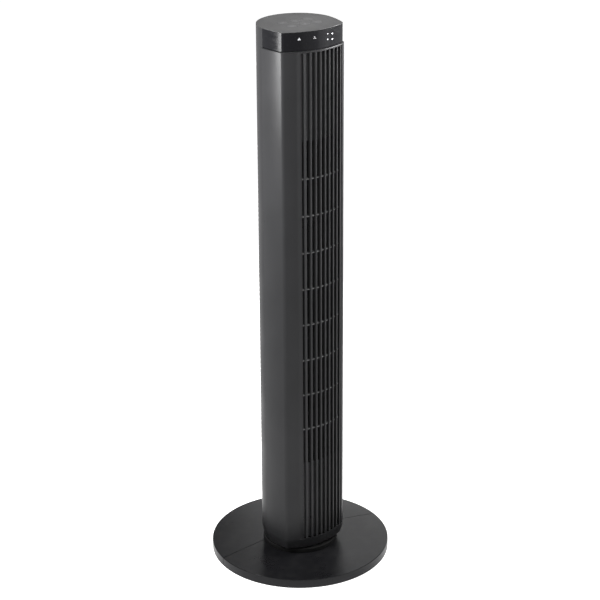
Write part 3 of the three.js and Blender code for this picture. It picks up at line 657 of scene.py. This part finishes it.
def rear_shell():
    """Back cover with rows of downward-sloping louvres in three columns, screw bosses and the cord hole."""
    pitch = 8 * MM
    slot = 4 * MM
    first = 122 * MM
    count = 75
    margin = 6 * MM
    half_span = 1.08
    rib = 0.06
    seam_angle = 0.002
    slope = 1.8 * MM
    columns = 3
    width = (2 * half_span - (columns - 1) * rib) / columns
    starts = [math.pi / 2 - half_span + i * (width + rib) for i in range(columns)]
    angles = even(seam_angle, math.pi / 2 - half_span, 8)
    for start in starts:
        angles += even(start, start + width, 12)
    angles += even(math.pi / 2 + half_span, math.pi - seam_angle, 8)[1:]
    angles = sorted(set(round(a, 6) for a in angles))
    middles = [(a + b) / 2 for a, b in zip(angles, angles[1:])]
    slotted = [any(start < middle < start + width for start in starts) for middle in middles]
    stations = rear_stations(angles)
    foot = even(rear_low.z, TAPER_TOP, 7)
    field = [first + i * pitch + part for i in range(count) for part in (0, slot)]
    heights = foot + even(TAPER_TOP, first - margin, 4)[1:] + field
    heights += even(field[-1] + margin, UNDER_LID, 4)
    first_row = len(foot) + 4
    last_row = first_row + len(field) - 1

    def place(c, r, side):
        x, y, z = skin_point(stations[c], drawn_in(heights[r]) - side * WALL, heights[r])
        return (x, y, z + (slope if side and first_row <= r <= last_row else 0))

    def present(c, r):
        in_slot = first_row <= r <= last_row and (r - first_row) % 2 == 0
        return not (in_slot and slotted[c])

    obj = thick_sheet("rear_cover", len(stations), len(heights), place, present)
    outward(obj)
    remade(obj, edge_rounding(obj, 0.45 * MM, 2, 40))

    def rod(name, radius, length, x, y, z, segments=40):
        return lying(name, [(0, 0), (radius, 0), (radius, length), (0, length)], x, y, z, segments)

    through = 60 * MM  # long enough to pass the wall
    bosses = []
    bores = []
    for low, high in SHELL_SCREWS:
        x, z = centre_of(low, high).xz
        bosses.append(rod("boss", 7 * MM, through, x, 20 * MM, z))
        bores.append(rod("bore", 4.6 * MM, through, x, 24 * MM, z))
        bores.append(rod("hole", 2.2 * MM, 10 * MM, x, 17 * MM, z, 24))
    levels = (rear_low.z + 20 * MM, rear_high.z - 20 * MM)
    inside = stacked("inside", [whole_outline(-0.8 * MM, z) for z in levels])
    posts = combined(joined("posts", bosses), inside, "INTERSECT")
    obj = combined(obj, posts, "UNION")
    bores.append(rod("cord_hole", 5 * MM, 30 * MM, 0, 45 * MM, (gland_low.z + gland_high.z) / 2))
    obj = combined(obj, joined("bores", bores), "DIFFERENCE")
    finish_piece(obj, "tower", "rear_plastic", ["rear_shell"])


# ---- front grille -------------------------------------------------------------------------

PITCH = 9 * MM
SLAT_WIDTH = 3.6 * MM
SLAT_DEPTH = 8.5 * MM
SLATS = 9
RUNG_FIRST = 185 * MM
RUNG_SPACING = 61.7 * MM
RUNGS = 10


def slat(name, x0, x1, taper=0.5 * MM, nose=1.5 * MM, lean=0.0, recess=0.0):
    """One upright slat, rounded outside and slightly thinner inside, that follows the shell's surface.

    lean draws its right-hand side in towards the back, and recess sets its face back.
    """
    mid = (x0 + x1) / 2
    y = -front_forward(mid, PROUD)
    slope = (-front_forward(x1, PROUD) + front_forward(x0, PROUD)) / (x1 - x0)
    nose = min(nose, (x1 - x0) * 0.45)
    corners = [
        (x0, recess, nose), (x1, recess, nose),
        (x1 - taper - lean, SLAT_DEPTH, 0.2 * MM), (x0 + taper, SLAT_DEPTH, 0.2 * MM),
    ]
    outline = rounded(corners, steps=6)
    bent = [(p.x, y + p.y + slope * (p.x - mid)) for p in outline]
    return prism(name, bent, grille_low.z, grille_high.z)


def grille_band(name, z0, z1, face, back, left, right, bulge=0.0):
    """A curved bar behind the slats, between two depths, with an optional rounded outer face."""
    sections = 18
    profile = [(z0, back), (z0, face), (z1, face), (z1, back)]
    if bulge:
        middle = (z0 + z1) / 2
        profile = [(z0, back)]
        profile += [
            (middle - (z1 - z0) / 2 * math.cos(a), face - bulge + bulge * math.sin(a))
            for a in even(0, math.pi, 6)
        ]
        profile += [(z1, back)]
    loops = [[(x, -front_forward(x, grow), z) for z, grow in profile] for x in even(left, right, sections)]
    return stacked(name, loops)


def front_grille():
    left = grille_low.x
    right = grille_high.x
    slats = [
        slat("grille_edge_left", left, left + 1.6 * MM, taper=0.0, recess=2.4 * MM),
        slat("grille_edge_right", right - 3.6 * MM, right, taper=0.0, nose=1.2 * MM, lean=1.8 * MM),
    ]
    first_slat = left - GAP + 6.4 * MM
    for i in range(SLATS):
        centre = first_slat + i * PITCH
        slats.append(slat(f"grille_slat_{i + 1}", centre - SLAT_WIDTH / 2, centre + SLAT_WIDTH / 2))
    for obj in slats:
        finish_piece(obj, "tower", "grille_plastic", ["front_grille"], bevel=0.25 * MM)
    for i in range(RUNGS - 2):
        z = RUNG_FIRST + (i + 1) * RUNG_SPACING
        name = f"grille_rung_{i + 1}"
        obj = grille_band(name, z - MM, z + MM, -1.2 * MM, -6 * MM, left, right - 2.5 * MM, 0.9 * MM)
        # The rungs take the lighter grey of the painted highlight instead of the grille's own colour.
        finish_piece(obj, "tower", "grille_plastic", ["front_grille"], RUNG_PAINTED_HIGHLIGHT)
    last = RUNG_FIRST + (RUNGS - 1) * RUNG_SPACING
    panels = (("grille_panel_low", grille_low.z, RUNG_FIRST), ("grille_panel_high", last, grille_high.z))
    for name, z0, z1 in panels:
        obj = grille_band(name, z0, z1, -3.2 * MM, -6 * MM, left, right - 3 * MM)
        finish_piece(obj, "tower", "grille_plastic", ["front_grille"], bevel=0.4 * MM)


# ---- cap ----------------------------------------------------------------------------------

BUTTONS = [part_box(f"button_{i + 1}") for i in range(6)]
BUTTON_RADIUS = 8.5 * MM
BUTTON_TOP = HEIGHT + 0.06 * MM
DISH = 0.12 * MM  # depth of the hollow in each button


def top_plate():
    """Lid with a crisp thin rim over the band and the rear shell, and a skirt that drops inside them."""
    skirt = -WALL - GAP
    low = plate_low.z
    rounding = 0.25 * MM
    levels = [(low, skirt), (HEIGHT - LID, skirt), (HEIGHT - LID, 0)]
    levels += [
        (HEIGHT - rounding + rounding * math.sin(a), -rounding + rounding * math.cos(a))
        for a in even(0, math.pi / 2, 4)
    ]
    obj = stacked("cap_plate", [whole_outline(grow, z) for z, grow in levels])
    holes = []
    for box in BUTTONS:
        x, y = centre_of(*box).xy
        holes.append(cylinder("hole", BUTTON_RADIUS + 0.2 * MM, low - 1 * MM, HEIGHT + 1 * MM, x, y, 64))
    obj = combined(obj, joined("holes", holes), "DIFFERENCE")
    finish_piece(obj, "tower", "cap_plastic", ["top_plate"], sharp=50)


def buttons():
    """Dished push buttons, flush with the plate but for a slim rim."""
    for i, (low, high) in enumerate(BUTTONS):
        centre = centre_of(low, high)
        r = BUTTON_RADIUS
        flange = high.x - centre.x
        dish = [(r * 0.84 * share, BUTTON_TOP - DISH * (1 - share ** 2)) for share in even(1, 0, 6)]
        profile = [(0, low.z), (flange, low.z), (flange, low.z + 1.5 * MM), (r, low.z + 1.5 * MM)]
        for inset, drop in ((0, 0.4 * MM), (0.12 * MM, 0.12 * MM), (0.4 * MM, 0)):
            profile.append((r - inset, BUTTON_TOP - drop))
        obj = turned(f"push_button_{i + 1}", profile + dish, 64, (centre.x, centre.y))
        body = f"button_{i + 1}"
        finish_piece(obj, body, "button_plastic", [body])


def control_band():
    stations = front_stations()
    heights = [band_low.z, band_low.z + 8 * MM, UNDER_LID - 8 * MM, UNDER_LID]

    def place(c, r, side):
        return skin_point(stations[c], -side * WALL, heights[r])

    obj = thick_sheet("band_window", len(stations), len(heights), place, lambda c, r: True)
    finish_piece(obj, "tower", "black_window", ["control_band"], bevel=0.2 * MM)


def sign(name, outlines, x, z, material):
    """A thin print on the band: flat outlines in millimetres about (x, z), wrapped on the band's surface."""
    parts = []
    for outline in outlines:
        flat = [(x + across * MM, z + up * MM) for across, up in outline]
        skins = (-0.15 * MM, 0.04 * MM)
        parts.append(stacked("part", [[(u, -front_forward(u, lift), v) for u, v in flat] for lift in skins]))
    finish_piece(joined(name, parts), "tower", "black_window", material=material, sharp=60)


def disc(radius, x=0.0, y=0.0, squash=1.0, turn=0.0):
    c, s = math.cos(turn), math.sin(turn)
    flat = [(radius * math.cos(a), radius * squash * math.sin(a)) for a in even(0, 2 * math.pi, 16)[:-1]]
    return [(x + c * u - s * v, y + s * u + c * v) for u, v in flat]


def lobed(radius, distance, squash):
    """Three lobes round a point."""
    turns = [math.radians(90 + 120 * k) for k in range(3)]
    return [disc(radius, distance * math.cos(a), distance * math.sin(a), squash, a) for a in turns]


def signs():
    """Plain signs: a fan, a three-lobed figure and four small marks."""
    sign("sign_fan", lobed(1.1, 1.3, 0.8) + [disc(0.45)], -33 * MM, 902.3 * MM, SIGN_BRIGHT)
    sign("sign_lobes", lobed(0.85, 1.55, 0.8), -8 * MM, 902 * MM, SIGN_DIM)
    sign("sign_mark_1", [disc(1.3, squash=0.7)], 17 * MM, 904.6 * MM, SIGN_DIM)
    sign("sign_mark_2", [disc(1.3, squash=0.9)], 27 * MM, 903.2 * MM, SIGN_BRIGHT)
    sign("sign_mark_3", [disc(1.4, squash=0.75, turn=0.5)], 17 * MM, 895.8 * MM, SIGN_BRIGHT)
    sign("sign_mark_4", [disc(1.5, squash=0.85)], 27 * MM, 894.5 * MM, SIGN_BRIGHT)


def arc_band(radius, width, start, end):
    """Outline of a curved stroke, from one angle to another in degrees."""
    angles = [math.radians(a) for a in even(start, end, 14)]
    outer = [((radius + width / 2) * math.cos(a), (radius + width / 2) * math.sin(a)) for a in angles]
    inner = [((radius - width / 2) * math.cos(a), (radius - width / 2) * math.sin(a)) for a in angles]
    return outer + inner[::-1]


def button_prints():
    """A plain figure on each button: bars, arcs and dots."""
    figures = [
        [arc_band(2.4, 0.6, 120, 420), bar(0.6, 2.6, 0, 2.0)],
        [bar(4.6, 0.6, 0, 1.5), bar(4.6, 0.6), bar(4.6, 0.6, 0, -1.5)],
        [arc_band(2.5, 0.6, 20, 160), arc_band(2.5, 0.6, 200, 340)],
        [bar(0.6, 4.4), bar(4.4, 0.6)],
        [arc_band(2.6, 0.6, 0, 270)],
        lobed(0.9, 1.6, 0.8),
    ]
    floor_of_dish = BUTTON_TOP - DISH
    for i, (outlines, box) in enumerate(zip(figures, BUTTONS)):
        centre = centre_of(*box)
        parts = [
            prism("part", [(centre.x + u * MM, centre.y + v * MM) for u, v in outline],
                  floor_of_dish - 0.05 * MM, floor_of_dish + 0.07 * MM)
            for outline in outlines
        ]
        obj = joined(f"button_print_{i + 1}", parts)
        finish_piece(obj, f"button_{i + 1}", "button_plastic", material=BUTTON_PRINT, sharp=60)


# ---- air wheel ----------------------------------------------------------------------------

def impeller():
    """Cross-flow wheel: curved blades between rings, with an end disc and hub at each end."""
    at = tuple(centre_of(wheel_low, wheel_high))[:2]
    outer = (wheel_high.x - wheel_low.x) / 2
    inner = outer * 0.75
    hub_bottom = wheel_low.z
    bottom = hub_bottom + 5 * MM
    top = wheel_high.z
    disc_height = 2 * MM
    parts = []
    sections = 8
    step = (top - bottom - disc_height) / sections
    for i in range(1, sections):
        z = bottom + i * step
        parts.append(hoop("ring", inner - 0.6 * MM, outer, z, z + disc_height, 72, at))
    lower = [
        (0, hub_bottom + 5.5 * MM), (4.3 * MM, hub_bottom + 5.5 * MM),
        (4.3 * MM, hub_bottom), (12 * MM, hub_bottom),
        (12 * MM, bottom), (outer, bottom), (outer, bottom + disc_height), (0, bottom + disc_height),
    ]
    upper = [
        (0, top - 6 * MM), (10 * MM, top - 6 * MM), (10 * MM, top - disc_height), (outer, top - disc_height),
        (outer, top), (4.3 * MM, top), (4.3 * MM, top - 5 * MM), (0, top - 5 * MM),
    ]
    parts += [turned("end", profile, 72, at) for profile in (lower, upper)]
    blades = 30
    thickness = 0.9 * MM
    for i in range(blades):
        turn = 2 * math.pi * i / blades
        outline = []
        for side, shares in ((1, even(0, 1, 5)), (-1, even(1, 0, 5))):
            for share in shares:
                radius = inner + (outer - 0.3 * MM - inner) * share
                sweep = 0.20 * math.sin(share * math.pi / 2)
                swell = thickness / 2 * (0.35 + 0.65 * math.sin(math.pi * min(1, share + 0.15)))
                angle = turn + sweep + side * swell / radius
                outline.append((at[0] + radius * math.cos(angle), at[1] + radius * math.sin(angle)))
        parts.append(prism("blade", outline, bottom + 1 * MM, top - 1 * MM))
    obj = joined("air_wheel", parts)
    finish_piece(obj, "blower", "wheel_plastic", ["impeller"])


# ---- base ---------------------------------------------------------------------------------

SEAM_SLOPE = 0.2
SEAM = 0.9 * MM
TURN = Matrix.Rotation(BASE_TURN, 4, "Z")
FEET = [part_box(f"base_foot_{i + 1}") for i in range(6)]
BASE_SCREWS = [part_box(f"base_screw_{i + 1}") for i in range(4)]


def behind_seam(shift):
    """Outline of everything behind the base's seam, whose two arms slope back to the middle."""
    reach = 0.2
    side = shift - (reach - BASE_RADIUS) * SEAM_SLOPE
    middle = BASE_RADIUS * SEAM_SLOPE + shift
    return [(-reach, side), (0, middle), (reach, side), (reach, reach), (-reach, reach)]


def base_disc(name):
    """The slightly domed base with its rim, open underneath, with ribs and hoops."""
    bottom = base_low.z
    top = base_high.z
    fall = 0.4 * MM
    flat = 58 * MM
    rim = BASE_RADIUS - 0.09 * MM
    edge_radius = 1.0 * MM
    crown = [(r, top - fall * ((r - flat) / (rim - flat)) ** 2) for r in even(flat, rim - edge_radius, 10)]
    end = crown[-1][1]
    rounding = [
        (rim - edge_radius + edge_radius * math.cos(a), end - edge_radius + edge_radius * math.sin(a))
        for a in even(math.pi / 2, 0, 8)[1:]
    ]
    under = top - 3 * MM
    wall = 5 * MM
    chamfer = 0.3 * MM
    profile = [(0, under), (rim - wall, under - fall), (rim - wall, bottom), (rim - chamfer, bottom)]
    profile += [(rim, bottom + chamfer)] + rounding[::-1] + crown[::-1] + [(0, top)]
    obj = turned(name, profile, 192)
    parts = []
    for i in range(6):
        rib = prism("rib", bar(292 * MM, 3 * MM), 3 * MM, under + 1 * MM)
        parts.append(moved(rib, Matrix.Rotation(i / 6 * math.pi, 4, "Z")))
    for radius in (94 * MM, 60 * MM):
        parts.append(hoop("hoop", radius - 2 * MM, radius + 2 * MM, 3 * MM, under + 1 * MM, 96))
    return obj, parts, under


def base_half(name, node, behind):
    """One half of the base, cut at the seam, with a seam wall along the cut."""
    back = TURN.inverted()
    obj, parts, under = base_disc(name)
    feet = [back @ centre_of(*box) for box in FEET]
    screws = [back @ centre_of(*box) for box in BASE_SCREWS]
    overlap = under + 1 * MM
    for radius, places in ((12 * MM, feet), (7 * MM, screws)):
        parts += [cylinder("boss", radius, base_low.z, overlap, p.x, p.y) for p in places]
    outline = behind_seam(-5 * MM)[:3] + behind_seam(5 * MM)[:3][::-1]
    seam_wall = prism("seam_wall", outline, base_low.z, overlap)
    limit = cylinder("limit", BASE_RADIUS - 2 * MM, 0, 20 * MM, 0, 0, 96)
    parts.append(combined(seam_wall, limit, "INTERSECT"))
    for part in parts:
        obj = combined(obj, part, "UNION")
    cuts = [
        cylinder("cut", 36 * MM, 0, 9.3 * MM, 0, 0, 64),
        cylinder("cut", 20.3 * MM, -1 * MM, 20 * MM, 0, 0, 64),
    ]
    pockets = (
        (9.3 * MM, -1 * MM, 3.5 * MM, feet),  # seats of the feet
        (4.5 * MM, -1 * MM, 5 * MM, screws),  # screw heads
        (2.2 * MM, -2 * MM, 20 * MM, screws),  # screw shanks
    )
    for radius, z0, z1, places in pockets:
        cuts += [cylinder("cut", radius, z0, z1, p.x, p.y) for p in places]
    for cut in cuts:
        obj = combined(obj, cut, "DIFFERENCE")
    half = prism("half", behind_seam(SEAM / 2 if behind else -SEAM / 2), -1 * MM, 20 * MM)
    obj = combined(obj, half, "INTERSECT" if behind else "DIFFERENCE")
    moved(obj, TURN)
    finish_piece(obj, "base", "base_plastic", [node], bevel=0.4 * MM, sharp=40)


def neck():
    """Swivel foot: a round flange on the base, its colour darkened as painted shade for the shadow under the
    column, with a hollow tube up through the column's floor.
    """
    r = neck_high.x
    low = base_high.z + GAP
    tube = 20 * MM
    bore = 14 * MM
    flange_top = 24 * MM
    profile = rounded([
        (bore, neck_low.z, 0.5 * MM), (tube, neck_low.z, 0.5 * MM), (tube, low, 0), (r, low, 0.4 * MM),
        (r, flange_top, 1.4 * MM), (tube, flange_top, 0.8 * MM),
        (tube, neck_high.z, 0.8 * MM), (bore, neck_high.z, 0.5 * MM),
    ])
    obj = turned("swivel_foot", profile, 128)
    # The flange takes the darkened colour of the painted shade, not the inner plastic.
    finish_piece(obj, "base", "inner_plastic", ["pivot_plate"], NECK_PAINTED_SHADE)


def feet():
    for i, (low, high) in enumerate(FEET):
        centre = centre_of(low, high)
        r = 9 * MM
        profile = rounded([
            (0, low.z, 0), (r - 1.2 * MM, low.z, 0.4 * MM), (r - 0.2 * MM, low.z + 1.2 * MM, 0.4 * MM),
            (r - 0.2 * MM, high.z, 0.3 * MM), (0, high.z, 0),
        ], closed=False)
        obj = turned(f"rubber_pad_{i + 1}", profile, 48, (centre.x, centre.y))
        finish_piece(obj, "base", "rubber", [f"base_foot_{i + 1}"])


SCREW_HEAD = 2.4 * MM


def screw(name, node, body, tilt, place, length):
    """Pan-head screw with a cross recess, made with its head up, then tilted about X and put at its place."""
    head = 4 * MM
    shank = 1.8 * MM
    thread = 0.35 * MM
    shoulder = 0.45  # share of the head's height below its rounded top
    profile = [(0, -length), (shank * 0.5, -length), (shank, -length + 2 * MM)]
    for k in range(int((length - 3 * MM) / (1 * MM))):
        z = -length + 2 * MM + k * MM
        profile += [(shank, z + 0.05 * MM), (shank - thread, z + 0.5 * MM)]
    profile += [(shank, -0.8 * MM), (shank, 0), (head, 0), (head, SCREW_HEAD * shoulder)]
    profile += [
        (head * math.cos(a), SCREW_HEAD * (shoulder + (1 - shoulder) * math.sin(a)))
        for a in even(0.2, 1.45, 6)
    ]
    profile += [(0, SCREW_HEAD)]
    obj = turned(name, profile, 40)
    for turn in (0, math.pi / 2):
        blade = prism("recess", bar(4.2 * MM, 0.9 * MM), SCREW_HEAD - 1.3 * MM, SCREW_HEAD + 1 * MM)
        obj = combined(obj, moved(blade, Matrix.Rotation(turn, 4, "Z")), "DIFFERENCE")
    moved(obj, Matrix.Translation(place) @ Matrix.Rotation(tilt, 4, "X"))
    finish_piece(obj, body, "steel", [node], sharp=30)


def screws():
    """The screws of the rear shell, the base and the motor bracket, heads at the outer end of their nodes."""
    motor_screws = [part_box(f"motor_screw_{i + 1}") for i in range(3)]
    kinds = (
        ("cover_screw", "rear_screw", SHELL_SCREWS, "tower", Vector((0, 1, 0)), -math.pi / 2),
        ("foot_screw", "base_screw", BASE_SCREWS, "base", Vector((0, 0, -1)), math.pi),
        ("bracket_screw", "motor_screw", motor_screws, "tower", Vector((0, 0, 1)), 0),
    )
    for name, node, boxes, body, outwards, tilt in kinds:
        for i, (low, high) in enumerate(boxes):
            reach = abs((high - low).dot(outwards))
            place = centre_of(low, high) + outwards * (reach / 2 - SCREW_HEAD)
            screw(f"{name}_{i + 1}", f"{node}_{i + 1}", body, tilt, place, reach - SCREW_HEAD)


def gland():
    """Moulded bush with a ribbed outer lip where the supply cord would enter."""
    bore = 3 * MM
    body = 4.7 * MM
    lip = (gland_high.x - gland_low.x) / 2
    length = gland_high.y - gland_low.y
    z = (gland_low.z + gland_high.z) / 2
    wall_out = BACK * (1 + flare_at(z)) - gland_low.y
    profile = rounded([
        (bore, 0, 0.4 * MM), (lip, 0, 0.5 * MM), (lip, 2.6 * MM, 0.5 * MM), (body, 2.6 * MM, 0),
        (body, wall_out + 0.5 * MM, 0), (lip, wall_out + 0.5 * MM, 0.5 * MM),
        (lip, wall_out + 2.5 * MM, 0.7 * MM),
        (body, wall_out + 2.7 * MM, 0.2 * MM), (body - 0.3 * MM, length, 0.4 * MM), (bore, length, 0.4 * MM),
    ])
    obj = lying("cord_bush", profile, 0, gland_low.y, z)
    finish_piece(obj, "tower", "rubber", ["cord_gland"])


# ---- nodes that keep their CAD shape ------------------------------------------------------

CARRIED = {
    "inner_plastic": [
        "retaining_nut", "tower_floor", "volute", "tongue", "duct_bottom_plate", "duct_top_plate",
    ],
    "acetal": ["bearing_ring", "fixed_gear", "swivel_pinion"],
    "steel": ["retaining_clip", "motor_bracket", "motor_shaft", "top_axle"],
    "motor_can": ["motor_body", "swivel_motor"],
    "bronze": ["top_bush"],
    "circuit": ["display_board", "button_board", "main_board"],
}


def carried_nodes():
    for slot, names in CARRIED.items():
        for name in names:
            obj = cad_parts[name]
            for material_slot in obj.material_slots:
                material_slot.material = MATERIALS[slot]


# ---- studio -------------------------------------------------------------------------------

def camera():
    turn = math.radians(-34.5)
    down = math.radians(22.168)
    roll = math.radians(-0.37)
    distance = 3.019
    aim = Vector((0.0018, -0.0013, 0.4947 * cad_high.z))
    back = Vector((math.sin(turn) * math.cos(down), -math.cos(turn) * math.cos(down), math.sin(down)))
    data = bpy.data.cameras.new("camera")
    data.lens = 111.0
    data.sensor_width = 36
    obj = bpy.data.objects.new("camera", data)
    obj.location = aim + back * distance
    obj.rotation_mode = "QUATERNION"
    obj.rotation_quaternion = (-back).to_track_quat("-Z", "Y") @ Quaternion((0, 0, 1), roll)
    bpy.context.scene.collection.objects.link(obj)
    bpy.context.scene.camera = obj


def floor():
    radius = 9.0
    obj = cylinder("floor", radius, -30 * MM, -0.2 * MM, 0, 0, 96)
    smooth(obj, 40)
    look = Look("pale_floor", 0.9, specular=0.2)
    look.colour(look.blend(look.spread(look.noise(3, 3), 0.0, 1.0), (0.86, 0.86, 0.86), (0.9, 0.9, 0.9)))
    look.shader.inputs["Emission Color"].default_value = (1, 1, 1, 1)
    look.shader.inputs["Emission Strength"].default_value = 1.0
    obj.data.materials.append(look.material)


def soft_light(name, place, aim, width, height, power):
    """A rectangular softbox that faces its aim."""
    data = bpy.data.lights.new(name, "AREA")
    data.shape = "RECTANGLE"
    data.size = width
    data.size_y = height
    data.energy = power
    obj = bpy.data.objects.new(name, data)
    obj.location = place
    obj.rotation_euler = (Vector(aim) - Vector(place)).to_track_quat("-Z", "Y").to_euler()
    obj.visible_camera = False
    bpy.context.scene.collection.objects.link(obj)


def standing_light(name, azimuth, distance, height, width, tall, power):
    """An upright softbox that faces the column, at an azimuth from the front (0) to the left side (90)."""
    turn = math.radians(azimuth)
    place = Vector((-math.sin(turn) * distance, -math.cos(turn) * distance, height))
    soft_light(name, place, (0, 0, height + 0.05), width, tall, power)


def surround(low_strength, bright_below, dark_above):
    """Plain studio surround: white up to a low elevation and dark overhead, with a soft change between."""
    scene_world = bpy.data.worlds.new("studio")
    bpy.context.scene.world = scene_world
    scene_world.use_nodes = True
    nodes = scene_world.node_tree.nodes
    links = scene_world.node_tree.links
    place = nodes.new("ShaderNodeTexCoord")
    split = nodes.new("ShaderNodeSeparateXYZ")
    links.new(place.outputs["Generated"], split.inputs["Vector"])
    fade = nodes.new("ShaderNodeMapRange")
    fade.interpolation_type = "SMOOTHSTEP"
    fade.inputs["From Min"].default_value = math.sin(math.radians(bright_below))
    fade.inputs["From Max"].default_value = math.sin(math.radians(dark_above))
    fade.inputs["To Min"].default_value = low_strength
    fade.inputs["To Max"].default_value = 0.0
    links.new(split.outputs["Z"], fade.inputs["Value"])
    links.new(fade.outputs["Result"], nodes["Background"].inputs["Strength"])
    nodes["Background"].inputs["Color"].default_value = (1, 1, 1, 1)


def studio():
    bpy.context.scene.view_settings.view_transform = "Standard"
    floor()
    surround(low_strength=1.0, bright_below=8, dark_above=17)
    soft_light("overhead", (-0.25, -0.25, 1.5), (0, 0, 0.88), 0.5, 0.5, 4.0)
    soft_light("back_right", (1.0, 1.1, 1.6), (0, 0, 0.7), 0.9, 0.9, 2.4)
    soft_light("low_back_right", (0.88, 0.85, 0.4), (0, 0, 0.4), 0.8, 0.6, 4.4)
    standing_light("high_left", 100, 0.75, 0.88, 0.26, 0.52, 18.0)
    standing_light("high_left_front", 50, 1.1, 0.82, 0.5, 0.7, 0.3)
    standing_light("high_front", -15, 1.1, 0.82, 0.5, 0.7, 0.4)
    standing_light("low_right_front", -45, 1.1, 0.42, 0.5, 0.8, 2.4)
    standing_light("high_right_front", -62, 0.6, 1.0, 0.3, 0.3, 15.0)
    camera()


front_shell()
rear_shell()
front_grille()
top_plate()
buttons()
control_band()
signs()
button_prints()
impeller()
base_half("base_cover_front", "base_front_half", False)
base_half("base_cover_rear", "base_rear_half", True)
neck()
feet()
screws()
gland()
carried_nodes()
studio()
